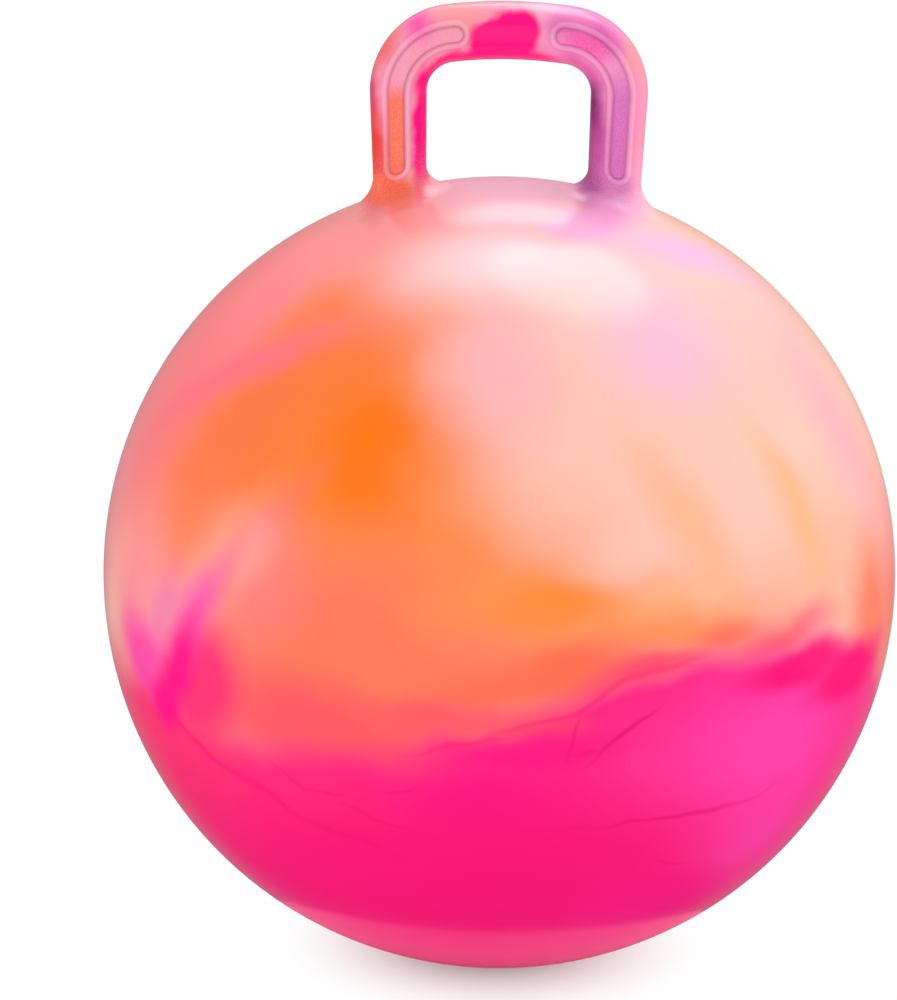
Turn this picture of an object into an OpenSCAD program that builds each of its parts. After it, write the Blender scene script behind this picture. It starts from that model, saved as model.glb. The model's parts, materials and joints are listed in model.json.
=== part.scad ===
// Hopper ball: an inflated vinyl ball with a hollow loop handle moulded on its crown,
// and a push-in air plug in a valve seat on its back.
// Millimetres, +Z up, handle across X, front towards -Y.
// The origin is the middle of the flat patch that the ball stands on.

/* [Ball] */
// Outside diameter of the inflated ball
ball_d = 450; // [400:5:520]
// Thickness of the ball's vinyl skin
skin_t = 1; // [0.8:0.1:2.5]
// Diameter of the patch that the ball's own weight presses flat
patch_d = 50; // [20:1:70]

/* [Handle] */
// Height of the handle's top above the crown of the ball
handle_rise = 100.5; // [90:0.5:125]
// Distance between the centre lines of the legs, at their widest
leg_span = 122.5; // [112:0.5:140]
// Lean of each leg inwards on its way down to the ball, in degrees
leg_lean = 1.8; // [0:0.1:4]
// Radius of the centre line where a leg turns into the top bar
corner_r = 32.5; // [26:0.5:38]
// Radius of the centre line of the arched top bar
arch_r = 255; // [180:5:400]
// Height of the top bar's section
bar_h = 31.6; // [28:0.2:36]
// Width of a leg's section at its root
root_w = 29; // [26:0.5:34]
// Depth of the handle's section, front to back
handle_depth = 33; // [28:0.5:38]
// Wall of the hollow handle
handle_wall = 2.6; // [1.8:0.1:4]
// How far the root of a leg spreads out over the ball
flare_out = 16; // [10:0.5:20]
// How far up the leg that spread reaches
flare_h = 14; // [9:0.5:20]
// Thickness of the edge that the spread runs out to
flare_edge = 0.25; // [0.2:0.01:0.35]
// Diameter of the air port under each leg
port_d = 20; // [12:0.5:22]

/* [Grip recess] */
// Width of the recess that the fingers feel
grip_w = 9.3; // [7:0.1:11]
// Depth of the recess
grip_depth = 1.5; // [0.6:0.1:1.8]
// Run of the recess's sloping side
grip_side = 0.7; // [0.4:0.1:1.2]
// Width of the raised rim round the recess
rim_w = 3.6; // [2.4:0.1:4.4]
// Height of that rim
rim_h = 1; // [0.3:0.1:1.2]
// How far the recess lies outside the handle's centre line
grip_offset = 0.8; // [0:0.1:1.6]
// Distance from the middle of the top bar to the recess's upper end
grip_top = 25; // [16:0.5:34]
// Height of the recess's lower end above the ball
grip_foot = 14.3; // [11:0.1:20]

/* [Valve] */
// Tilt of the valve from the crown towards the back, in degrees
valve_tilt = 36; // [26:1:60]
// Diameter of the seat's collar, flush with the skin
collar_d = 22; // [19:0.5:28]
// Diameter of the seat's flange, inside the skin
flange_d = 36; // [30:0.5:44]
// Thickness of that flange
flange_t = 1.8; // [1:0.1:3]
// Diameter of the seat's barrel
barrel_d = 14.5; // [12:0.5:18]
// Length of the seat, from the crown of its collar to its inner end
seat_len = 17; // [15:0.5:24]
// Diameter of the plug's stem
stem_d = 8; // [6:0.1:9]
// Length of the plug's stem below its head, tip included
stem_len = 13; // [11:0.5:15]
// Length of the plug's tapered tip
tip_len = 3.5; // [2:0.5:5]
// Diameter of the plug's tip
tip_d = 5.4; // [4:0.1:5.8]
// Diameter of the plug's head
head_d = 15; // [13:0.1:16.5]
// Thickness of the plug's head at its rim
head_t = 2; // [1.4:0.1:3]
// Diameter of the finger dimple in the head
dimple_d = 7; // [4:0.5:9]
// Depth of that dimple
dimple_depth = 0.7; // [0.3:0.1:1]
// Depth of the sealing grooves round the stem
groove_depth = 0.45; // [0.2:0.05:0.8]
// Width of a sealing groove
groove_w = 1.3; // [0.8:0.1:1.8]

/* [Fits] */
// Gap between the ball and the foot of each leg
root_gap = 0.3; // [0.25:0.01:0.5]
// Gap of the bonded faces between valve seat and skin
bond_gap = 0.1; // [0.05:0.01:0.2]
// Clearance round the plug's stem in its bore
stem_fit = 0.1; // [0.05:0.01:0.2]
// Clearance round and under the plug's head in its recess
head_fit = 0.25; // [0.1:0.01:0.4]

/* [Hidden] */
$fn = 96;

// Colours of the marbled vinyl and of the plug
skin_colour = [1.00, 0.47, 0.42];
handle_colour = [0.98, 0.45, 0.66];
seat_colour = [0.98, 0.60, 0.62];
plug_colour = [0.95, 0.95, 0.93];

// One overrun serves every cut
cut_over = 1;

// Places that follow from the ball
ball_r = ball_d / 2;
inner_r = ball_r - skin_t;
ball_z = sqrt(pow(ball_r, 2) - pow(patch_d / 2, 2));
foot_r = ball_r + root_gap;

// The handle's centre line, measured from the middle of the top bar, in the ball's own frame.
// An arc of arch_r runs into an arc of corner_r, and that into a straight leg.
deg_per_rad = 180 / PI;
axis_top = ball_r + handle_rise - bar_h / 2;
arch_a = asin((leg_span / 2 - corner_r) / (arch_r - corner_r));
leg_a = 90 + leg_lean;
arch_len = arch_r * arch_a / deg_per_rad;
corner_len = corner_r * (leg_a - arch_a) / deg_per_rad;
corner_start = [arch_r * sin(arch_a), axis_top - arch_r * (1 - cos(arch_a))];
corner_end = corner_start + corner_r * [sin(leg_a) - sin(arch_a), cos(leg_a) - cos(arch_a)];
leg_dir = [cos(leg_a), -sin(leg_a)];
leg_reach = -(corner_end * leg_dir);
leg_len = leg_reach - sqrt(pow(leg_reach, 2) - corner_end * corner_end + pow(foot_r, 2));
half_len = arch_len + corner_len + leg_len;
root_x = corner_end.x + leg_len * leg_dir.x;

// The grip recess, along the same line
grip_r = grip_w / 2;
grip_from = grip_top + grip_r;
grip_to = half_len - grip_foot - grip_r;
rim_foot = grip_foot - rim_w;

// How square the handle's section is: 2 is an ellipse
section_power = 2.5;
// Places across a face of the section, from the rim of the recess out to the edge
edge_shares = [0.94, 0.72, 0.38];
// Places along the recess's round ends, from their centre
end_shares = [0, 0.45];
// Heights of the rings of the flared root, under the rim of the recess
root_shares = [0.8, 0.6, 0.42, 0.27, 0.15, 0.07];
// Rings along the handle between the two ends of a recess
grip_steps = 20;
// Rings along each half of the hollow
core_steps = 16;
// Sealing grooves round the plug's stem
grooves = 3;

// Height of the ball of radius r over a point of its own mid plane
function dome(x, y, r) = sqrt(pow(r, 2) - x * x - y * y);
function mix(a, b, share) = a + (b - a) * share;
function smooth(share) = share * share * (3 - 2 * share);
function reversed(list) = [for (i = [len(list) - 1 : -1 : 0]) list[i]];

// Heading of the centre line at distance s, clockwise from +X
function heading(s) =
    s <= arch_len ? s / arch_r * deg_per_rad :
    s <= arch_len + corner_len ? arch_a + (s - arch_len) / corner_r * deg_per_rad :
    leg_a;

// Point of the centre line at distance s
function axis_point(s) =
    s <= arch_len ? [arch_r * sin(heading(s)), axis_top - arch_r * (1 - cos(heading(s)))] :
    s <= arch_len + corner_len ?
        corner_start + corner_r * [sin(heading(s)) - sin(arch_a), cos(heading(s)) - cos(arch_a)] :
    corner_end + leg_dir * (s - arch_len - corner_len);

// Half the section's size across the handle and through it, less a wall
function leg_share(s) = min(1, (half_len - s) / leg_len);
function half_w(s, wall) = mix(root_w, bar_h, leg_share(s)) / 2 - wall;
half_depth = handle_depth / 2;

// Places across a face, from the outer edge of the handle to the inner one
rim_out = grip_offset + grip_r + rim_w;
rim_in = grip_offset - grip_r - rim_w;
function face_places(w) = concat(
    [for (e = edge_shares) mix(rim_out, w, e)],
    [rim_out, rim_out - rim_w / 2, rim_out - rim_w, rim_out - rim_w - grip_side],
    [grip_offset],
    [rim_in + rim_w + grip_side, rim_in + rim_w, rim_in + rim_w / 2, rim_in],
    [for (e = reversed(edge_shares)) mix(rim_in, -w, e)]);

// Height of the grip's relief at distance s along the handle and n across it
function grip_distance(s, n) =
    norm([max(0, grip_from - s, s - grip_to), n - grip_offset]) - grip_r;
function relief(d) =
    d <= -grip_side ? -grip_depth :
    d <= 0 ? -grip_depth * smooth(-d / grip_side) :
    d < rim_w ? rim_h * sin(180 * d / rim_w) :
    0;

// Corners of the section at distance s, anticlockwise from its outer edge
function face_depth(n, w) = half_depth * pow(max(0, 1 - pow(abs(n) / w, section_power)), 1 / section_power);
function section(s) =
    let (w = half_w(s, 0), places = face_places(w))
    concat(
        [[w, 0]],
        [for (n = places) [n, face_depth(n, w) + relief(grip_distance(s, n))]],
        [[-w, 0]],
        [for (n = reversed(places)) [n, -face_depth(n, w) - relief(grip_distance(s, n))]]);

// The hollow takes every second corner, moved in by the wall
function core_section(s) =
    let (outer = section(s), share = half_w(s, handle_wall) / half_w(s, 0),
         depth_share = (half_depth - handle_wall) / half_depth,
         w = half_w(s, 0))
    [for (i = [0 : 2 : len(outer) - 1])
        [outer[i].x * share, sign(outer[i].y) * face_depth(outer[i].x, w) * depth_share]];

// Spread of the root at height t above the ball
function spread(t) =
    let (up = max(t, flare_edge))
    up >= flare_h ? 0 : flare_out * (1 - sqrt(1 - pow(1 - up / flare_h, 2)));

// Place of a corner of the section. On the leg, the rings turn to follow the ball.
function placed(side, s, corner, out) =
    let (t = half_len - s,
         far = norm(corner),
         spun = corner * (far + out) / far,
         at = axis_point(s) + spun.x * [sin(heading(s)), cos(heading(s))],
         on_ball = dome(at.x, spun.y, foot_r) + t * sin(leg_a),
         height = s <= arch_len + corner_len ? at.y : mix(on_ball, at.y, smooth(leg_share(s))))
    [side * at.x, spun.y, height];

// Distances of the rings along one half of the handle
half_rings = concat(
    [0, grip_top / 2],
    [grip_top - rim_w, grip_top - rim_w / 2, grip_top, grip_top + grip_side],
    [for (e = reversed(end_shares)) grip_from - grip_r * e],
    [for (i = [1 : grip_steps - 1]) mix(grip_from, grip_to, i / grip_steps)],
    [for (e = end_shares) grip_to + grip_r * e],
    [for (t = [grip_foot + grip_side, grip_foot, grip_foot - rim_w / 2, rim_foot]) half_len - t],
    [for (e = root_shares) half_len - rim_foot * e],
    [half_len - flare_edge, half_len]);
half_core = [for (i = [0 : core_steps]) half_len * i / core_steps];

// Both halves, from the left root over the top to the right root
function both_halves(list) = concat(
    [for (i = [len(list) - 1 : -1 : 1]) [-1, list[i]]],
    [for (s = list) [1, s]]);

// Faces between rings of count corners each, the first ring starting at corner from
function skin_faces(rings, count, from) =
    [for (j = [0 : rings - 2]) for (i = [0 : count - 1])
        let (k = (i + 1) % count, a = from + j * count, b = a + count)
        [a + i, a + k, b + k, b + i]];
function turned(faces) = [for (f = faces) reversed(f)];

// Faces of a root: each corner of the hollow meets three corners of the outside
function root_faces(outer, inner, count) =
    [for (i = [0 : count / 2 - 1])
        let (a = outer + 2 * i, b = a + 1, c = outer + (2 * i + 2) % count,
             p = inner + i, q = inner + (i + 1) % (count / 2))
        each [[a, p, b], [b, p, q], [b, q, c]]];

// Outline of the ball, cut off flat at the height of its patch
module cut_disc(r, low) {
    intersection() {
        circle(r);
        translate([0, low]) square([r, 2 * r]);
    }
}

// Frame of the valve: its own axis is +Z, from the centre of the ball outwards
module valve_frame() {
    translate([0, 0, ball_z]) rotate([-valve_tilt, 0, 0]) children();
}

module ball_skin() {
    color(skin_colour)
    difference() {
        translate([0, 0, ball_z]) rotate_extrude() difference() {
            cut_disc(ball_r, -ball_z);
            cut_disc(inner_r, skin_t - ball_z);
        }
        for (side = [-1, 1])
            translate([side * root_x, 0, ball_z]) cylinder(d = port_d, h = ball_r);
        valve_frame() cylinder(d = collar_d + 2 * bond_gap, h = ball_r + cut_over);
    }
}

module handle() {
    rings = both_halves(half_rings);
    cores = both_halves(half_core);
    count = len(section(0));
    outside = [for (r = rings) each
        [for (c = section(r[1])) placed(r[0], r[1], c, spread(half_len - r[1]))]];
    hollow = [for (r = cores) each [for (c = core_section(r[1])) placed(r[0], r[1], c, 0)]];
    inner = len(outside);
    last_outer = inner - count;
    last_inner = inner + len(hollow) - count / 2;
    color(handle_colour)
    translate([0, 0, ball_z]) polyhedron(
        points = concat(outside, hollow),
        faces = concat(
            turned(skin_faces(len(rings), count, 0)),
            skin_faces(len(cores), count / 2, inner),
            turned(root_faces(0, inner, count)),
            root_faces(last_outer, last_inner, count)),
        convexity = 8);
}

// Heights along the valve's axis, from the ball's centre
head_under = ball_r - head_t;
head_floor = head_under - head_fit;
stem_end = head_under - stem_len;
seat_end = ball_r - seat_len;
bore_r = stem_d / 2 + stem_fit;

module valve_seat() {
    color(seat_colour)
    valve_frame() rotate_extrude() difference() {
        union() {
            intersection() {
                circle(ball_r);
                translate([0, seat_end]) square([collar_d / 2, seat_len]);
                union() {
                    translate([0, inner_r - flange_t]) square([collar_d / 2, seat_len]);
                    translate([0, seat_end]) square([barrel_d / 2, seat_len]);
                }
            }
            intersection() {
                difference() {
                    circle(inner_r - bond_gap);
                    circle(inner_r - bond_gap - flange_t);
                }
                translate([0, seat_end]) square([flange_d / 2, seat_len]);
            }
        }
        translate([0, head_floor]) square([head_d / 2 + head_fit, head_t + seat_len]);
        translate([0, seat_end - cut_over]) square([bore_r, seat_len]);
    }
}

// The head lies level with the crown of the collar, so the plug is flush
module plug_outline() {
    groove_pitch = (stem_len - tip_len) / (grooves + 1);
    difference() {
        union() {
            translate([0, head_under]) square([head_d / 2, head_t]);
            translate([0, stem_end + tip_len]) square([stem_d / 2, stem_len - tip_len]);
            polygon([
                [0, stem_end], [tip_d / 2, stem_end],
                [stem_d / 2, stem_end + tip_len], [0, stem_end + tip_len]]);
        }
        for (i = [1 : grooves])
            translate([stem_d / 2 - groove_depth, head_under - i * groove_pitch - groove_w / 2])
                square([groove_depth + cut_over, groove_w]);
        translate([0, ball_r - dimple_depth]) square([dimple_d / 2, stem_len]);
    }
}

module valve_plug() {
    color(plug_colour)
    valve_frame() rotate_extrude() plug_outline();
}

ball_skin();
handle();
valve_seat();
valve_plug();
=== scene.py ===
import json
import math

import bmesh
import bpy
from mathutils import Matrix, Vector


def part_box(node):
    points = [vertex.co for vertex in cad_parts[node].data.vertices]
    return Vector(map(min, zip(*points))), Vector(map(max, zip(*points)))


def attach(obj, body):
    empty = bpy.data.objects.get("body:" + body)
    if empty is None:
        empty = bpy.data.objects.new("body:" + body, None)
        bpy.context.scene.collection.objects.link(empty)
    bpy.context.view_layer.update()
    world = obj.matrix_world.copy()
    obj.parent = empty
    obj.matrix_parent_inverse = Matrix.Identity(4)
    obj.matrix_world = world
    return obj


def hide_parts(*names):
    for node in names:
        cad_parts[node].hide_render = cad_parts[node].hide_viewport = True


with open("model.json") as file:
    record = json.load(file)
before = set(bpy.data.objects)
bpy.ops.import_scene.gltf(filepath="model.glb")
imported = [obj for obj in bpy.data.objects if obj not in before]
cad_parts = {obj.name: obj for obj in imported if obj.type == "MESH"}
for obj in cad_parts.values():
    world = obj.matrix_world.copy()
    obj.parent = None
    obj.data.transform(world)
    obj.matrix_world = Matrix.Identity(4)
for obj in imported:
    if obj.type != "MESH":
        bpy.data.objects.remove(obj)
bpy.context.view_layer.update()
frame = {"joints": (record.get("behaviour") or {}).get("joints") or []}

# Ball
# The ball is a skin of soft PVC about a millimetre thick, moulded hollow from pours of
# different pigment that ran into each other, and blown up until it is tight and glossy.
# The handle leaves the mould with it, as the same skin.
MM = 0.001
ball_low, ball_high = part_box("ball_skin")
ball_r = (ball_high.y - ball_low.y) / 2
ball_centre = Vector((0, 0, ball_high.z - ball_r))
valve_axis = Vector(frame["joints"][0]["axis"]).normalized()
valve_turn = Vector((0, 0, 1)).rotation_difference(valve_axis).to_matrix().to_4x4()
valve_frame = Matrix.Translation(ball_centre) @ valve_turn
collar_r = 11 * MM
bond_gap = 0.1 * MM
valve_hole_r = collar_r + bond_gap
valve_clear_r = 16 * MM
valve_pocket = 19 * MM
weld_r = 19 * MM
weld_rise = 0.5 * MM
BALL_DETAIL = 7


def smooth(share):
    """An even rise from 0 to 1."""
    share = min(max(share, 0), 1)
    return share * share * (3 - 2 * share)


def finished(name, mesh_tools, material, body, node):
    """Turns a bmesh into a smooth piece that rides on a body and stands for a CAD node."""
    mesh = bpy.data.meshes.new(name)
    mesh_tools.to_mesh(mesh)
    mesh_tools.free()
    mesh.polygons.foreach_set("use_smooth", [True] * len(mesh.polygons))
    mesh.materials.append(material)
    piece = bpy.data.objects.new(name, mesh)
    bpy.context.scene.collection.objects.link(piece)
    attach(piece, body)
    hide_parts(node)


ball = bmesh.new()
bmesh.ops.create_icosphere(ball, subdivisions=BALL_DETAIL, radius=ball_r)
bmesh.ops.translate(ball, verts=ball.verts, vec=ball_centre)
# Its own weight presses a flat patch where it stands
for vert in ball.verts:
    vert.co.z = max(vert.co.z, 0)

# The hole for the valve: the skin rises a little over the welded flange, then a blind pocket
# holds the seat
to_valve = valve_frame.inverted()
for vert in ball.verts:
    at = to_valve @ vert.co
    if at.z > 0:
        share = (weld_r - at.xy.length) / (weld_r - valve_clear_r)
        vert.co += valve_axis * weld_rise * smooth(share)
near = [
    v for v in ball.verts
    if (to_valve @ v.co).z > 0 and (to_valve @ v.co).xy.length < valve_clear_r
]
bmesh.ops.delete(ball, geom=near, context="VERTS")
edge = [e for e in ball.edges if e.is_boundary]
for radius, depth in ((valve_hole_r, 0), (valve_hole_r, valve_pocket)):
    drawn = bmesh.ops.extrude_edge_only(ball, edges=edge)["geom"]
    edge = [g for g in drawn if isinstance(g, bmesh.types.BMEdge)]
    for vert in (g for g in drawn if isinstance(g, bmesh.types.BMVert)):
        at = to_valve @ vert.co
        out = at.xy.normalized() * radius
        level = math.sqrt(ball_r ** 2 - radius ** 2) - depth
        vert.co = valve_frame @ Vector((out.x, out.y, level))
bmesh.ops.edgeloop_fill(ball, edges=edge)
bmesh.ops.recalc_face_normals(ball, faces=ball.faces)


def linear(code):
    """An sRGB hex colour as linear red, green, blue and alpha."""
    channels = [int(code[i:i + 2], 16) / 255 for i in (0, 2, 4)]
    return [
        c / 12.92 if c <= 0.04045 else ((c + 0.055) / 1.055) ** 2.4 for c in channels
    ] + [1]


def add(tree, kind, inputs, **settings):
    """Adds a shader node. Each input is a value, or the socket that it is linked to."""
    node = tree.nodes.new("ShaderNode" + kind)
    for name, value in settings.items():
        setattr(node, name, value)
    for key, value in inputs.items():
        if isinstance(value, bpy.types.NodeSocket):
            tree.links.new(value, node.inputs[key])
        else:
            node.inputs[key].default_value = value
    return node


def blank_material(name):
    """A material and its node tree, still empty."""
    material = bpy.data.materials.new(name)
    material.use_nodes = True
    material.node_tree.nodes.clear()
    return material, material.node_tree


def tinted(tree, share, under, over):
    """One colour laid over another, by a share of it."""
    return add(tree, "Mix", {0: share, 6: under, 7: over}, data_type="RGBA").outputs[2]


def times(tree, one, two):
    """The product of two values."""
    return add(tree, "Math", {0: one, 1: two}, operation="MULTIPLY").outputs[0]


# The marbling: clouds of pigment laid over each other, oldest first. A cloud on the ball is placed
# in degrees round from the front and up from the middle. Its half width and half height, in mm,
# are where it is at half strength, and its tilt leans its top to the right.
PIGMENTS = {
    "peach": "FFC4B2",
    "blush": "FFB0B8",
    "shell": "FFC6D4",
    "sugar": "FFB8D6",
    "pearl": "FFE4EE",
    "lilac": "FBB6DE",
    "rosewater": "FA8E9A",
    "orchid": "F07CA6",
    "salmon": "FB7F82",
    "rose": "FF7082",
    "dawn": "FE9C98",
    "sand": "FFAE92",
    "coral": "FF7858",
    "flame": "FF7844",
    "orange": "FF7E30",
    "deep orange": "FF7600",
    "tangerine": "FF8C38",
    "apricot": "FF8C4E",
    "honey": "FFB07A",
    "vermilion": "FF6C4A",
    "red coral": "FF5460",
    "raspberry": "FF3070",
    "cerise": "FF1E80",
    "magenta": "FF3EA8",
    "hot pink": "FF0084",
    "crimson": "FC0074",
    "garnet": "E6066C",
    "candy": "F996B2",
    "mallow": "F48EC4",
    "petal": "F9A6C4",
    "fuchsia": "E05CAC",
    "heather": "D868BA",
    "lavender": "F4A2D4",
    "purple": "AC4892",
    "plum": "7E2670",
    "cherry": "D03A6E",
    "ember": "F06C62",
    "cinnabar": "FF724E",
    "scarlet": "E83A30",
    "poppy": "FC6238",
}
ball_clouds = (
    # azimuth, height, half width, half height, tilt, pigment, strength, softness
    # The sides and the back
    (98, 6, 60, 44, 0, "salmon", 0.7, 0.9),
    (95, -46, 130, 124, 0, "cerise", 1, 0.2),
    (262, -46, 130, 124, 0, "raspberry", 1, 0.2),
    (180, -42, 195, 150, 0, "cerise", 1, 0.14),
    (232, 30, 50, 90, -20, "salmon", 0.9, 0.7),
    (248, 2, 40, 60, 0, "rosewater", 0.8, 0.8),
    (165, 44, 44, 36, 0, "blush", 0.8, 0.9),
    (128, 40, 40, 46, 10, "lilac", 0.7, 0.9),
    (120, 8, 30, 50, 10, "dawn", 0.7, 0.9),
    (182, 6, 130, 46, 8, "coral", 0.9, 0.8),
    (205, 22, 46, 90, 30, "orange", 0.9, 0.7),
    (148, 16, 60, 56, -25, "apricot", 0.8, 0.9),
    (200, 26, 24, 46, 25, "deep orange", 0.9, 0.8),
    (190, -6, 90, 10, 6, "red coral", 0.8, 0.8),
    (140, -4, 60, 9, -6, "raspberry", 0.8, 0.8),
    (224, -2, 14, 44, 35, "hot pink", 0.7, 0.9),
    (130, -30, 100, 60, -10, "magenta", 0.9, 0.8),
    (215, -36, 120, 50, 10, "crimson", 0.9, 0.7),
    (176, -9, 40, 1.4, 8, "crimson", 0.6, 0.9),
    (150, -16, 30, 1.3, -12, "crimson", 0.5, 0.9),
    (205, -22, 34, 1.3, 10, "crimson", 0.5, 0.9),
    # The crown and the front
    # The broad shell cloud across the crown is partly the pale pigment there and partly a painted
    # highlight where the overhead lamp's reflection falls
    (20, 64, 90, 40, 0, "shell", 0.5, 0.8),
    (0, 88, 60, 50, 0, "sugar", 0.95, 0.8),
    (-62, 66, 64, 44, 0, "dawn", 0.95, 0.7),
    (38, 71, 24, 15, 0, "lilac", 0.9, 0.4),
    (66, 61, 16, 46, -50, "lilac", 0.9, 0.9),
    (66, 40, 50, 50, 0, "blush", 0.4, 0.9),
    (48, 6, 70, 30, 0, "sand", 0.9, 0.9),
    (-72, 38, 95, 120, 0, "salmon", 1, 0.5),
    (-90, 8, 52, 90, 0, "rosewater", 1, 0.6),
    (-40, 33, 42, 110, 38, "flame", 1, 0.6),
    (-42, 48, 24, 40, 30, "flame", 0.9, 0.8),
    (-53, 38, 12, 56, 50, "rose", 0.8, 0.9),
    (-24, 27, 46, 60, 15, "orange", 1, 0.6),
    (-11, 16, 74, 38, -6, "apricot", 1, 0.7),
    (-17, 30, 33, 38, 12, "deep orange", 1, 0.8),
    (-8, 29, 30, 22, -20, "apricot", 0.5, 0.9),
    (10, 25, 34, 16, -25, "peach", 0.5, 0.9),
    (58, 14, 40, 34, 0, "sand", 0.7, 0.9),
    (-60, -22, 90, 62, 0, "raspberry", 1, 0.4),
    (-62, 2, 24, 40, 20, "rosewater", 0.9, 0.8),
    (-24, 0, 84, 62, 0, "coral", 1, 0.5),
    (6, 11, 54, 17, -10, "tangerine", 1, 0.9),
    (6, 1, 66, 20, 8, "vermilion", 0.9, 0.8),
    (20, 18, 28, 16, -20, "peach", 0.9, 0.9),
    (22, 9, 30, 13, -15, "honey", 0.8, 0.9),
    (28, 20, 13, 42, -28, "honey", 0.6, 0.9),
    (48, 20, 11, 38, -18, "honey", 0.8, 0.9),
    (33, 46, 34, 32, 0, "lilac", 0.7, 0.95),
    (0, 43, 28, 40, 0, "blush", 0.8, 0.9),
    # The faint pearl cloud high on the front is a painted highlight that widens the reflection on
    # the crown
    (-8, 62, 36, 26, 0, "pearl", 0.45, 0.9),
    (67, 28, 22, 46, 0, "blush", 0.9, 0.9),
    (76, 4, 26, 60, 0, "dawn", 0.9, 0.9),
    (76, -2, 20, 36, 0, "coral", 0.8, 0.9),
    (20, 6, 60, 12, -5, "apricot", 0.85, 0.8),
    (9, 9, 30, 12, -8, "tangerine", 0.9, 0.8),
    (44, 4, 34, 10, 0, "salmon", 0.8, 0.8),
    (42, 3, 26, 7, -6, "red coral", 0.8, 0.8),
    (66, 1, 24, 40, 0, "coral", 0.9, 0.8),
    (32, 5, 22, 8, -5, "vermilion", 0.8, 0.8),
    (10, 2, 30, 10, 0, "vermilion", 0.8, 0.8),
    (-34, 7, 24, 40, 10, "salmon", 0.6, 0.9),
    (-50, 11, 12, 26, 20, "flame", 0.5, 0.9),
    (-34, 19, 8, 32, 35, "rose", 0.35, 0.9),
    (-36, 14, 10, 16, 20, "dawn", 0.7, 0.8),
    (30, 1, 50, 10, 8, "red coral", 0.6, 0.95),
    (20, 1, 26, 6, -10, "red coral", 0.9, 0.8),
    (2, -45, 190, 147, 0, "cerise", 1, 0.14),
    (36, -30, 165, 119, 0, "cerise", 1, 0.08),
    (-20, -2, 54, 28, 0, "coral", 1, 0.7),
    (-26, -8, 70, 20, 6, "red coral", 0.9, 0.8),
    (-1, -1, 26, 9, 0, "vermilion", 0.8, 0.8),
    (-4, -5, 46, 9, 3, "red coral", 0.8, 0.8),
    (-54, -22, 66, 40, 0, "raspberry", 1, 0.5),
    (-22, -22, 60, 22, 0, "raspberry", 0.9, 0.9),
    (42, -14, 66, 46, 0, "magenta", 1, 0.9),
    (46, -29, 40, 34, -10, "magenta", 0.8, 0.9),
    (-45, -5, 26, 34, 25, "raspberry", 1, 0.5),
    (-52, 2, 20, 28, 25, "orchid", 0.9, 0.7),
    (-58, -6, 30, 22, 20, "magenta", 0.9, 0.6),
    (-45, 5, 11, 32, 28, "magenta", 0.8, 0.8),
    (-50, -4, 12, 30, 30, "hot pink", 1, 0.7),
    (-54, -11, 14, 20, 50, "hot pink", 1, 0.6),
    (4, -10, 44, 8, 0, "hot pink", 0.7, 0.9),
    (-4, -18, 46, 26, 0, "hot pink", 0.9, 0.9),
    (47, -1.6, 40, 10, -4, "crimson", 1, 0.6),
    (60, -5, 40, 14, -8, "crimson", 1, 0.6),
    (24, -37, 50, 14, 0, "hot pink", 0.8, 0.9),
    (-8, -28, 110, 34, 0, "crimson", 0.9, 0.8),
    (-10, -38, 130, 40, 0, "crimson", 1, 0.7),
    (30, -40, 40, 20, 10, "hot pink", 0.9, 0.7),
    # Thin threads, drawn out where one pour ran along another
    (18, -8, 1.4, 17, 50, "garnet", 0.8, 0.9),
    (10.5, -8, 1.1, 11, 5, "garnet", 0.55, 0.9),
    (13, -10, 6, 1.1, 0, "garnet", 0.5, 0.9),
    (27, -22, 50, 1.3, -5, "garnet", 0.7, 0.9),
    (29, -31, 9, 1.2, 20, "garnet", 0.5, 0.9),
    (-45, -16, 36, 2.2, 29, "crimson", 0.7, 0.9),
    (-34, -21, 18, 2, 30, "crimson", 0.7, 0.9),
    (-24, -25, 28, 1.8, 23, "garnet", 0.35, 0.9),
    (-4, -8.6, 21, 1.5, -13, "crimson", 0.5, 0.9),
    (5, -5.6, 18, 1.5, -15, "crimson", 0.5, 0.9),
    (13, -2.6, 19, 1.5, -26, "crimson", 0.5, 0.9),
    (20, 0, 24, 1.5, -14, "raspberry", 0.6, 0.9),
    (-30, -17, 14, 1, 35, "garnet", 0.4, 0.9),
    (-24, -19, 12, 1, 10, "garnet", 0.4, 0.9),
    (-14, -16, 10, 1, -20, "garnet", 0.4, 0.9),
    (-18, -22, 16, 1, 15, "garnet", 0.4, 0.9),
)
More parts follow.
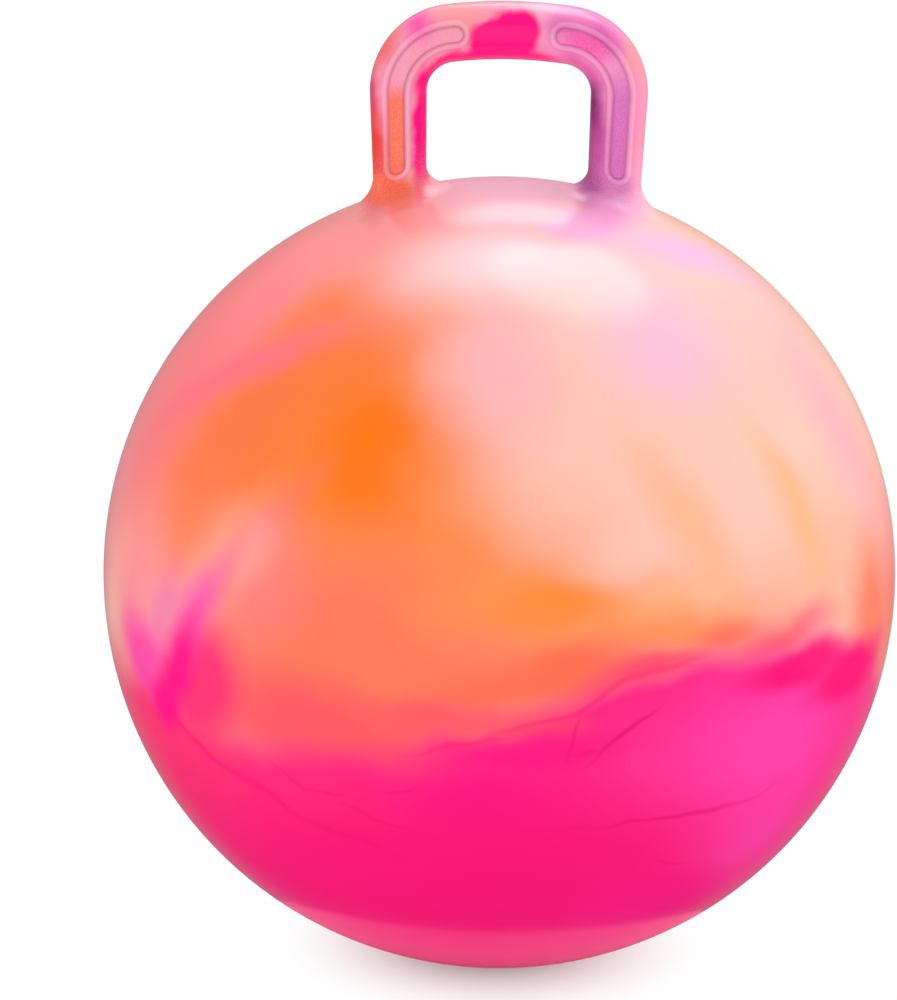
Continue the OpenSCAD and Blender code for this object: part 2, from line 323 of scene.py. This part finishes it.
# The same pigments ran up into the loop. These clouds are placed in mm to the right of the middle
# and above the ball's centre, and go through the handle from front to back.
loop_clouds = (
    # across, up, half width, half height, tilt, pigment, strength, softness
    (-30, 286, 60, 56, 0, "candy", 1, 0.1),
    (52, 282, 40, 62, 0, "mallow", 1, 0.3),
    (-27, 318, 17, 6, 0, "dawn", 0.7, 0.8),
    (-52, 315, 10, 8, 50, "magenta", 0.8, 0.8),
    (-70, 300, 6, 15, 28, "ember", 0.9, 0.8),
    (-77, 271, 5, 16, 0, "cherry", 0.9, 0.6),
    (-75, 238, 9, 30, -4, "scarlet", 1, 0.6),
    # The thin petal streak down the inner rim of the left grip is a painted highlight
    (-57, 262, 3, 32, 0, "petal", 0.8, 0.7),
    (-48, 254, 4.5, 34, 0, "hot pink", 1, 0.45),
    (-40, 288, 5, 16, 46, "hot pink", 1, 0.4),
    (-4, 294, 33, 7, 0, "hot pink", 1, 0.3),
    (-4, 305, 20, 13, 0, "hot pink", 1, 0.15),
    (2, 311, 15, 12, 0, "hot pink", 1, 0.2),
    (-66, 222, 18, 8, 0, "poppy", 1, 0.5),
    (70, 296, 6, 16, -20, "dawn", 0.8, 0.7),
    (31, 313, 10, 6, 10, "fuchsia", 0.8, 0.8),
    (51, 308, 6, 11, -48, "fuchsia", 0.9, 0.8),
    (40, 290, 5, 12, -45, "fuchsia", 0.8, 0.7),
    (74, 262, 5, 34, 2, "candy", 0.9, 0.7),
    (46, 250, 8, 32, 0, "purple", 1, 0.5),
    (45, 270, 4.5, 10, 0, "plum", 1, 0.8),
    (56, 240, 10, 20, 0, "heather", 0.6, 0.8),
    (56, 225, 16, 8, 0, "heather", 0.7, 0.6),
    (45, 228, 6, 7, 0, "purple", 0.8, 0.7),
    (58, 215, 20, 7, 0, "lavender", 0.9, 0.6),
)
# In the floor of the grips the pour stood still, so it kept its own colours there
grip_clouds = (
    (-62, 252, 30, 27, 0, "cinnabar", 1, 0.25),
    (60, 250, 30, 36, 0, "heather", 0.95, 0.3),
    (42, 303, 12, 10, 0, "magenta", 0.85, 0.7),
)
cloud_depth = 220 * MM
loop_depth = 60 * MM
drift_size = 55 * MM
drift_reach = 24 * MM
loop_drift_size = 14 * MM
loop_drift_reach = 7 * MM
dot_pitch = 1.2 * MM
root_places = (Vector((-62, 0, 216)) * MM, Vector((60, 0, 218)) * MM)
stipple_r = 38 * MM
seam_w = 0.7 * MM
bump_h = 0.12 * MM
DRIFT_DETAIL = 2
GRIP_STIPPLE = 0.5
DOT_SCATTER = 0.5
DOT_INSIDE = 0.3
DOT_OUTSIDE = 0.6
DOT_PALE = 0.2
# The next two shares lay a painted highlight on the grips' rims and painted shade along their walls
RIM_HIGHLIGHT = 0.18
WALL_SHADE = 0.35
GLOSS_ROUGH = 0.2
STIPPLE_ROUGH = 0.36
PVC_IOR = 1.5
PVC_SPECULAR = 0.32


def on_ball(azimuth, height, width, tall, tilt, *paint):
    """A cloud on the ball as centre, turn, size, pigment, strength and softness."""
    spin, lift, roll = (math.radians(a) for a in (azimuth, -height, tilt))
    turn = Matrix.Rotation(spin, 3, "Z") @ Matrix.Rotation(lift, 3, "X")
    turn = turn @ Matrix.Rotation(roll, 3, "Y")
    size = Vector((width * MM, cloud_depth, tall * MM))
    return ball_centre + turn @ Vector((0, -ball_r, 0)), turn, size, *paint


def on_loop(across, up, width, tall, tilt, *paint):
    """A cloud on the handle as centre, turn, size, pigment, strength and softness."""
    centre = ball_centre + Vector((across * MM, 0, up * MM))
    turn = Matrix.Rotation(math.radians(tilt), 3, "Y")
    return centre, turn, Vector((width * MM, loop_depth, tall * MM)), *paint


def spot(tree, place, centre, turn, size):
    """An ellipsoid that falls evenly from 1 at its centre to 0 at its outside."""
    fall = add(tree, "TexGradient", {"Vector": place}, gradient_type="SPHERICAL")
    fall.texture_mapping.vector_type = "TEXTURE"
    fall.texture_mapping.translation = centre
    fall.texture_mapping.rotation = turn.to_euler("XYZ")
    fall.texture_mapping.scale = size
    return fall.outputs["Fac"]


def clouded(tree, colour, place, clouds, within=None):
    """Lays clouds of pigment over a colour, all over or only where within is 1."""
    for centre, turn, size, pigment, strength, soft in clouds:
        share = {"Value": spot(tree, place, centre, turn, size * (1 + soft))}
        share.update({"From Max": 2 * soft / (1 + soft), "To Max": strength})
        mask = add(tree, "MapRange", share, interpolation_type="SMOOTHSTEP").outputs[0]
        if within:
            mask = times(tree, mask, within)
        colour = tinted(tree, mask, colour, linear(PIGMENTS[pigment]))
    return colour


def marbled_pvc():
    """Soft PVC, slush-moulded and inflated: clouded pigment under a wet-looking gloss. Round the
    handle's roots and on its grips the mould was stippled, which shows as fine pale dots."""
    material, tree = blank_material("marbled_pvc_slush_moulded")
    still = add(tree, "TexCoord", {}).outputs["Object"]
    colour = linear(PIGMENTS["peach"])
    for clouds, size, reach in (
        ([on_ball(*c) for c in ball_clouds], drift_size, drift_reach),
        ([on_loop(*c) for c in loop_clouds], loop_drift_size, loop_drift_reach),
    ):
        noise = {"Vector": still, "Scale": 1 / size, "Detail": DRIFT_DETAIL}
        drift = {0: add(tree, "TexNoise", noise).outputs["Color"], 1: (0.5, 0.5, 0.5)}
        drift = add(tree, "VectorMath", drift, operation="SUBTRACT").outputs[0]
        drift = add(tree, "VectorMath", {0: drift, "Scale": reach}, operation="SCALE").outputs[0]
        place = add(tree, "VectorMath", {0: still, 1: drift}, operation="ADD").outputs[0]
        colour = clouded(tree, colour, place, clouds)
    grip = add(tree, "Attribute", {}, attribute_name="grip").outputs["Fac"]
    colour = clouded(tree, colour, still, [on_loop(*c) for c in grip_clouds], grip)

    # The stipple: fine dots on the grips' floors, and fading out round the roots
    stipple = times(tree, grip, GRIP_STIPPLE)
    all_round = Vector((1, 1, 1)) * stipple_r
    for at in root_places:
        near_root = spot(tree, still, ball_centre + at, Matrix.Identity(3), all_round)
        stipple = add(tree, "Math", {0: stipple, 1: near_root}, operation="MAXIMUM").outputs[0]
    cells = {"Vector": still, "Scale": 1 / dot_pitch, "Randomness": DOT_SCATTER}
    dots = {"Value": add(tree, "TexVoronoi", cells).outputs["Distance"]}
    dots.update({"From Min": DOT_INSIDE, "From Max": DOT_OUTSIDE})
    dots = times(tree, add(tree, "MapRange", dots).outputs[0], stipple)
    # The dots are tinted paler, the grips' rims get a painted highlight, and painted shade lies
    # along the grips' walls and the outer foot of the rims
    rim = add(tree, "Attribute", {}, attribute_name="grip_rim_highlight").outputs["Fac"]
    wall = add(tree, "Attribute", {}, attribute_name="grip_wall_shade").outputs["Fac"]
    for mask, share, pigment in (
        (dots, DOT_PALE, "pearl"), (rim, RIM_HIGHLIGHT, "pearl"), (wall, WALL_SHADE, "plum")
    ):
        colour = tinted(tree, times(tree, mask, share), colour, linear(PIGMENTS[pigment]))
    # The mould's parting line runs round the ball and the loop, left and right
    through = add(tree, "SeparateXYZ", {0: still}).outputs["Y"]
    through = add(tree, "Math", {0: through}, operation="ABSOLUTE").outputs[0]
    seam = add(tree, "MapRange", {"Value": through, "From Min": seam_w, "From Max": 0}).outputs[0]
    raised = add(tree, "Math", {0: dots, 1: seam}, operation="ADD").outputs[0]
    bump = add(tree, "Bump", {"Height": raised, "Strength": 1, "Distance": bump_h}).outputs[0]
    rough = {"Value": stipple, "To Min": GLOSS_ROUGH, "To Max": STIPPLE_ROUGH}
    gloss = {"Base Color": colour, "Roughness": add(tree, "MapRange", rough).outputs[0]}
    gloss.update({"IOR": PVC_IOR, "Specular IOR Level": PVC_SPECULAR, "Normal": bump})
    shader = add(tree, "BsdfPrincipled", gloss)
    add(tree, "OutputMaterial", {"Surface": shader.outputs[0]})
    return material


skin = marbled_pvc()
finished("ball", ball, skin, "ball", "ball_skin")

# Handle
# A hollow tube of squarish section, of the same skin as the ball, with a sunk finger grip inside
# a raised rim down each side, front and back, and roots that flare out onto the ball.
handle_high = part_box("handle")[1]
bar_h = 31.6 * MM
root_w = 29 * MM
handle_depth = 33 * MM
leg_span = 122.5 * MM
leg_lean = math.radians(1.8)
corner_r = 32.5 * MM
arch_r = 255 * MM
section_power = 2.5
flare_out = 16 * MM
flare_h = 14 * MM
grip_r = 9.3 * MM / 2
grip_depth = 1.5 * MM
grip_side = 0.7 * MM
grip_offset = 0.8 * MM
grip_top = 25 * MM
grip_foot = 14.3 * MM
# Width of the bands of painted shade along each grip's wall and the outer foot of its rim
shade_w = 0.9 * MM
rim_w = 3.6 * MM
rim_h = 1 * MM
sunk = 0.3 * MM
ring_step = 0.7 * MM
mirror_join = 0.01 * MM
SECTION_SIDES = 128
FLARE_RINGS = 22
FLARE_RING_DEGREES = 4
FACE_CROWDING = 0.3
# Strength of the fainter painted shade at the outer foot of the rims
OUTER_SHADE = 0.5
ROUNDING_ANGLE = 1e-6
ROUNDING = 1e-7

axis_top = handle_high.z - bar_h / 2
arch_a = math.asin((leg_span / 2 - corner_r) / (arch_r - corner_r))
leg_a = math.pi / 2 + leg_lean
arch_centre = Vector((0, 0, axis_top - arch_r))
to_corner = Vector((math.sin(arch_a), 0, math.cos(arch_a)))
corner_centre = arch_centre + (arch_r - corner_r) * to_corner
arch_len = arch_r * arch_a
corner_len = corner_r * (leg_a - arch_a)
leg_out = Vector((math.sin(leg_a), 0, math.cos(leg_a)))
leg_dir = Vector((math.cos(leg_a), 0, -math.sin(leg_a)))
leg_top = corner_centre + corner_r * leg_out
reach = (ball_centre - leg_top).dot(leg_dir)
leg_len = reach - math.sqrt(reach ** 2 - (leg_top - ball_centre).length_squared + ball_r ** 2)
half_len = arch_len + corner_len + leg_len


def along_and_across(at):
    """Distance along the handle's centre line from the middle of the bar, and out across it."""
    from_arch = at - arch_centre
    angle = math.atan2(from_arch.x, from_arch.z)
    if angle <= arch_a + ROUNDING_ANGLE:
        return angle * arch_r, math.hypot(from_arch.x, from_arch.z) - arch_r
    from_corner = at - corner_centre
    angle = math.atan2(from_corner.x, from_corner.z)
    down = (at - leg_top).dot(leg_dir)
    if down <= ROUNDING:
        across = math.hypot(from_corner.x, from_corner.z) - corner_r
        return arch_len + corner_r * (angle - arch_a), across
    return arch_len + corner_len + down, (at - leg_top).dot(leg_out)


def from_grip(s, n):
    """Distance of a place on the front or back from the edge of the grip, less than 0 inside it."""
    ends = max(0, grip_top + grip_r - s, s - (half_len - grip_foot - grip_r))
    return math.hypot(ends, n - grip_offset) - grip_r


def relief(far):
    """Height of the grip's rim, or depth of its floor."""
    if far < 0:
        return -grip_depth * smooth(-far / grip_side)
    if far < rim_w:
        return rim_h * math.sin(math.pi * far / rim_w)
    return 0


def seated(s, n, y):
    """Place of a point of the leg: tapered, flared near the root, and laid along the ball."""
    t = half_len - s
    share = t / leg_len
    n *= (root_w + (bar_h - root_w) * min(max(share, 0), 1)) / bar_h
    out = 0
    if t < flare_h:
        out = flare_out * (1 - math.sqrt(max(0, 1 - (1 - max(t, 0) / flare_h) ** 2)))
    far = math.hypot(n, y)
    n *= 1 + out / far
    y *= 1 + out / far
    at = leg_top + leg_dir * (s - arch_len - corner_len) + leg_out * n
    at.y = y
    on_skin = ball_centre.z + math.sqrt(ball_r ** 2 - at.x ** 2 - y ** 2) + t * math.sin(leg_a)
    at.z = on_skin + (at.z - on_skin) * smooth(share)
    return at


handle = bmesh.new()
grip_layer = handle.verts.layers.float.new("grip")
# Painted shade along the grips' walls, and a painted highlight on their raised rims
wall_shade_layer = handle.verts.layers.float.new("grip_wall_shade")
rim_highlight_layer = handle.verts.layers.float.new("grip_rim_highlight")
ring = bmesh.ops.create_circle(handle, segments=SECTION_SIDES, radius=1)["verts"]
for vert in ring:
    turn = math.atan2(vert.co.y, vert.co.x)
    turn += FACE_CROWDING * math.sin(2 * turn)
    across, through = (
        math.copysign(abs(f) ** (2 / section_power), f) for f in (math.cos(turn), math.sin(turn))
    )
    vert.co = Vector((0, through * handle_depth / 2, axis_top + across * bar_h / 2))
last = ring + handle.edges[:]
for centre, angle, radius in (
    (arch_centre, arch_a, arch_r), (corner_centre, leg_a - arch_a, corner_r)
):
    last = bmesh.ops.spin(
        handle, geom=last, cent=centre, axis=(0, 1, 0), angle=angle,
        steps=round(angle * radius / ring_step), use_duplicate=False,
    )["geom_last"]
straight = leg_len - flare_h
steps = round(straight / ring_step)
heights = [leg_len - straight * i / steps for i in range(1, steps + 1)]
flare_turns = [math.radians(FLARE_RING_DEGREES * i) for i in range(1, FLARE_RINGS + 1)]
heights += [flare_h * (1 - math.sin(turn)) for turn in flare_turns] + [-sunk]
level = leg_len
edges = [g for g in last if isinstance(g, bmesh.types.BMEdge)]
for height in heights:
    drawn = bmesh.ops.extrude_edge_only(handle, edges=edges)["geom"]
    edges = [g for g in drawn if isinstance(g, bmesh.types.BMEdge)]
    verts = [g for g in drawn if isinstance(g, bmesh.types.BMVert)]
    bmesh.ops.translate(handle, verts=verts, vec=leg_dir * (level - height))
    level = height
for vert in handle.verts:
    s, n = along_and_across(vert.co)
    y = vert.co.y
    if abs(y) > handle_depth / 4:
        far = from_grip(s, n)
        y += math.copysign(relief(far), y)
        vert[grip_layer] = smooth(-far / grip_side)
        # Painted shade in a band down the grip's wall and, fainter, at the outer foot of the rim;
        # the rim's height share carries its painted highlight
        inner, outer = abs(far + shade_w / 2) / shade_w, abs(far - rim_w) / shade_w
        vert[wall_shade_layer] = max(0, 1 - inner, OUTER_SHADE - outer)
        vert[rim_highlight_layer] = max(0, relief(far)) / rim_h
    vert.co.y = y
    if s > arch_len + corner_len:
        vert.co = seated(s, n, y)
bmesh.ops.edgeloop_fill(handle, edges=edges)
half = handle.verts[:] + handle.edges[:] + handle.faces[:]
bmesh.ops.mirror(handle, geom=half, axis="X", merge_dist=mirror_join)
bmesh.ops.recalc_face_normals(handle, faces=handle.faces)
finished("handle_loop", handle, skin, "ball", "handle")

# Valve seat
# A round collar of softer PVC, moulded by itself and welded into a hole in the skin from inside.
# Its recess takes the plug's head, and its bore grips the plug's stem.
seat_len = 17 * MM
collar_t = 2.8 * MM
barrel_r = 14.5 * MM / 2
recess_r = 7.75 * MM
recess_depth = 2.25 * MM
bore_r = 4.1 * MM
bead_in = 8.3 * MM
bead_out = 10.3 * MM
bead_h = 0.45 * MM
BEAD_STEPS = 6
TURN_STEPS = 96
edge_round = 0.25 * MM
edge_sharp = math.radians(40)
turn_join = 0.001 * MM
EDGE_STEPS = 3
PINKS = ("F77E92", "FF9DA6")
flow_size = 5 * MM
blast_size = 0.5 * MM
blast_depth = 0.05 * MM


def crown(radius):
    """Height of the skin at a distance from the valve's axis, from where that leaves the ball."""
    return math.sqrt(ball_r ** 2 - radius ** 2) - ball_r


def turned(outline, closed):
    """A piece turned round the valve's axis from radii and heights, with its edges eased."""
    piece = bmesh.new()
    verts = [piece.verts.new((radius, 0, ball_r + height)) for radius, height in outline]
    for one, two in zip(verts, verts[1:] + verts[:1] if closed else verts[1:]):
        piece.edges.new((one, two))
    bmesh.ops.spin(
        piece, geom=verts + piece.edges[:], cent=(0, 0, 0), axis=(0, 0, 1), angle=2 * math.pi,
        steps=TURN_STEPS, use_merge=True, use_duplicate=False,
    )
    bmesh.ops.remove_doubles(piece, verts=piece.verts, dist=turn_join)
    bmesh.ops.recalc_face_normals(piece, faces=piece.faces)
    sharp = [e for e in piece.edges if e.calc_face_angle(0) > edge_sharp]
    bmesh.ops.bevel(
        piece, geom=sharp, offset=edge_round, segments=EDGE_STEPS, profile=0.5, affect="EDGES",
        material=-1, clamp_overlap=True,
    )
    bmesh.ops.transform(piece, matrix=valve_frame, verts=piece.verts)
    bmesh.ops.recalc_face_normals(piece, faces=piece.faces)
    return piece


bead = []
for i in range(BEAD_STEPS + 1):
    radius = bead_out + (bead_in - bead_out) * i / BEAD_STEPS
    bead.append((radius, crown(radius) + bead_h * math.sin(math.pi * i / BEAD_STEPS)))
seat = turned(
    [
        (barrel_r, -seat_len),
        (barrel_r, -collar_t),
        (collar_r, -collar_t),
        (collar_r, crown(collar_r)),
    ]
    + bead
    + [
        (recess_r, crown(recess_r)),
        (recess_r, -recess_depth),
        (bore_r, -recess_depth),
        (bore_r, -seat_len),
    ],
    closed=True,
)


def mottled(tree, place, size, detail):
    """An even noise with lumps of a size, from 0 to 1."""
    noise = {"Vector": place, "Scale": 1 / size, "Detail": detail}
    return add(tree, "TexNoise", noise).outputs["Fac"]


def satin_pvc():
    """Soft PVC, injection-moulded against a fine-blasted tool: even pink with a soft sheen and a
    faint flow."""
    material, tree = blank_material("satin_pvc_injection_moulded")
    place = add(tree, "TexCoord", {}).outputs["Object"]
    flow = mottled(tree, place, flow_size, 3)
    colour = tinted(tree, flow, linear(PINKS[0]), linear(PINKS[1]))
    grain = mottled(tree, place, blast_size, 2)
    grain = {"Height": grain, "Strength": 0.5, "Distance": blast_depth}
    satin = {"Base Color": colour, "Roughness": 0.38, "IOR": 1.52}
    satin["Normal"] = add(tree, "Bump", grain).outputs[0]
    shader = add(tree, "BsdfPrincipled", satin)
    add(tree, "OutputMaterial", {"Surface": shader.outputs[0]})
    return material


finished("valve_seat_collar", seat, satin_pvc(), "ball", "valve_seat")

# Valve plug
# A white push-in plug of polyethylene, moulded in one: a flat head with a dimple for a fingertip,
# and a grooved stem with a tapered tip that the bore of the seat grips. It pulls straight out.
head_r = 7.5 * MM
head_t = 2 * MM
dimple_r = 3.5 * MM
dimple_depth = 0.7 * MM
stem_r = 4 * MM
stem_len = 13 * MM
tip_r = 2.7 * MM
tip_len = 3.5 * MM
groove_depth = 0.45 * MM
groove_w = 1.3 * MM
GROOVES = 3
WHITES = ("D8D6D0", "E4E2DD")
milk_size = 4 * MM
wax_size = 0.6 * MM
wax_depth = 0.04 * MM

stem_end = -head_t - stem_len
groove_pitch = (stem_len - tip_len) / (GROOVES + 1)
groove_r = stem_r - groove_depth
grooves = []
for i in range(GROOVES, 0, -1):
    middle = -head_t - i * groove_pitch
    low, high = middle - groove_w / 2, middle + groove_w / 2
    grooves += [(stem_r, low), (groove_r, low), (groove_r, high), (stem_r, high)]
plug = turned(
    [(0, stem_end), (tip_r, stem_end), (stem_r, stem_end + tip_len)]
    + grooves
    + [(stem_r, -head_t), (head_r, -head_t), (head_r, 0)]
    + [(dimple_r, 0), (dimple_r, -dimple_depth), (0, -dimple_depth)],
    closed=False,
)


def white_polyethylene():
    """LDPE, injection-moulded: milky white and waxy, faintly clouded under a dull sheen."""
    material, tree = blank_material("white_ldpe_injection_moulded")
    place = add(tree, "TexCoord", {}).outputs["Object"]
    milk = mottled(tree, place, milk_size, 2)
    colour = tinted(tree, milk, linear(WHITES[0]), linear(WHITES[1]))
    grain = mottled(tree, place, wax_size, 2)
    grain = {"Height": grain, "Strength": 0.4, "Distance": wax_depth}
    waxy = {"Base Color": colour, "Roughness": 0.42, "IOR": 1.51}
    waxy["Normal"] = add(tree, "Bump", grain).outputs[0]
    shader = add(tree, "BsdfPrincipled", waxy)
    add(tree, "OutputMaterial", {"Surface": shader.outputs[0]})
    return material


finished("valve_plug_push_in", plug, white_polyethylene(), "plug", "valve_plug")

# Studio
# A sheet of white paper that keeps the ball's shadow and runs out into a white backdrop, under
# plain soft light, with the camera where the photograph was taken from.
WHITE = (1, 1, 1, 1)
sweep_r = 135 * MM
sweep_fade = 130 * MM
SWEEP_SIDES = 96
floor = bmesh.new()
bmesh.ops.create_circle(floor, cap_ends=True, segments=SWEEP_SIDES, radius=sweep_r)
floor_mesh = bpy.data.meshes.new("floor")
floor.to_mesh(floor_mesh)
floor.free()
floor_object = bpy.data.objects.new("floor", floor_mesh)
bpy.context.scene.collection.objects.link(floor_object)
paper, sheet = blank_material("white_paper_sweep")
lit = add(sheet, "BsdfDiffuse", {"Color": linear("F2F2F2")})
blank = add(sheet, "Emission", {"Color": WHITE, "Strength": 1})
under = add(sheet, "TexCoord", {}).outputs["Object"]
far_out = add(sheet, "VectorMath", {0: under}, operation="LENGTH").outputs["Value"]
fade = {"Value": far_out, "From Max": sweep_fade}
fade = add(sheet, "MapRange", fade, interpolation_type="SMOOTHSTEP").outputs[0]
eye = add(sheet, "LightPath", {}).outputs["Is Camera Ray"]
fade = times(sheet, fade, eye)
top = add(sheet, "MixShader", {0: fade, 1: lit.outputs[0], 2: blank.outputs[0]})
add(sheet, "OutputMaterial", {"Surface": top.outputs[0]})
floor_mesh.materials.append(paper)

AMBIENT = 0.8
ABOVE_AND_BEHIND = (0, 0.6, 0.8)
GLOW_DIM = 0.06
GLOW_BRIGHT = 0.8
GLOW_EDGE = 0.55
WALL_BRIGHT = 0.25
WALL_EDGE = 0.5
FULL_FROM = 0.95
world = bpy.data.worlds.new("studio")
bpy.context.scene.world = world
world.use_nodes = True
sky = world.node_tree
sky.nodes.clear()


def brighter(one, two):
    """The greater of two values in the world's tree."""
    return add(sky, "Math", {0: one, 1: two}, operation="MAXIMUM").outputs[0]


ray = add(sky, "LightPath", {}).outputs
seen = brighter(ray["Is Camera Ray"], ray["Is Transmission Ray"])
seen = brighter(seen, ray["Is Glossy Ray"])
ambient = add(sky, "Background", {"Color": WHITE, "Strength": AMBIENT})
# The gloss sees a glow above and behind, and the backdrop straight behind, which lies in the ball's
# edge alone. The camera sees plain white.
way = add(sky, "TexCoord", {}).outputs["Generated"]
above = {0: way, 1: ABOVE_AND_BEHIND}
above = add(sky, "VectorMath", above, operation="DOT_PRODUCT").outputs["Value"]
above = {"Value": above, "From Min": GLOW_EDGE, "To Min": GLOW_DIM, "To Max": GLOW_BRIGHT}
wall = add(sky, "SeparateXYZ", {0: way}).outputs["Y"]
wall = {"Value": wall, "From Min": WALL_EDGE, "To Max": WALL_BRIGHT}
glow = ray["Is Camera Ray"]
for part in (above, wall):
    part["From Max"] = FULL_FROM
    part = add(sky, "MapRange", part, interpolation_type="SMOOTHSTEP").outputs[0]
    glow = brighter(glow, part)
backdrop = add(sky, "Background", {"Color": WHITE, "Strength": glow})
shown = add(sky, "MixShader", {0: seen, 1: ambient.outputs[0], 2: backdrop.outputs[0]})
add(sky, "OutputWorld", {"Surface": shown.outputs[0]})

for name, at, size, power, in_gloss in (
    # name, place and width in metres, watts, and whether the gloss shows it
    ("overhead", (0.5, 0.7, 2.4), 1.3, 17, True),
    ("back", (0.15, 2, 2.4), 1.1, 7, True),
    ("front", (-0.2, -2.4, 0.2), 1.6, 13, False),
    ("left", (-2.2, 0.2, 0.2), 1.6, 13, False),
    ("right", (2.1, 0.6, 0.2), 1.6, 23, False),
):
    lamp = bpy.data.lights.new(name, "AREA")
    lamp.shape = "DISK"
    lamp.size = size
    lamp.energy = power
    light = bpy.data.objects.new(name, lamp)
    light.location = at
    light.rotation_euler = (ball_centre - Vector(at)).to_track_quat("-Z", "Y").to_euler()
    light.visible_glossy = in_gloss
    bpy.context.scene.collection.objects.link(light)

# The lens comes from the ball's outline in the photograph, whose radius is ball_rows of the
# picture's rows
camera_back = 2200 * MM
camera_up = 594 * MM
camera_aim = Vector((-29.47 * MM, 0, 41.49 * MM))
camera_roll = math.radians(1)
picture_rows = 1000
ball_rows = 395.8
sensor_h = 36
camera_data = bpy.data.cameras.new("camera")
camera = bpy.data.objects.new("camera", camera_data)
bpy.context.scene.collection.objects.link(camera)
camera.location = ball_centre + Vector((0, -camera_back, camera_up))
away = math.hypot(camera_back, camera_up)
camera_data.sensor_fit = "VERTICAL"
camera_data.sensor_height = sensor_h
camera_data.lens = sensor_h * ball_rows * math.sqrt(away ** 2 - ball_r ** 2) / ball_r / picture_rows
aim = (ball_centre + camera_aim - camera.location).to_track_quat("-Z", "Y").to_matrix()
camera.rotation_euler = (aim @ Matrix.Rotation(camera_roll, 3, "Z")).to_euler()
bpy.context.scene.camera = camera
bpy.context.scene.view_settings.view_transform = "Standard"
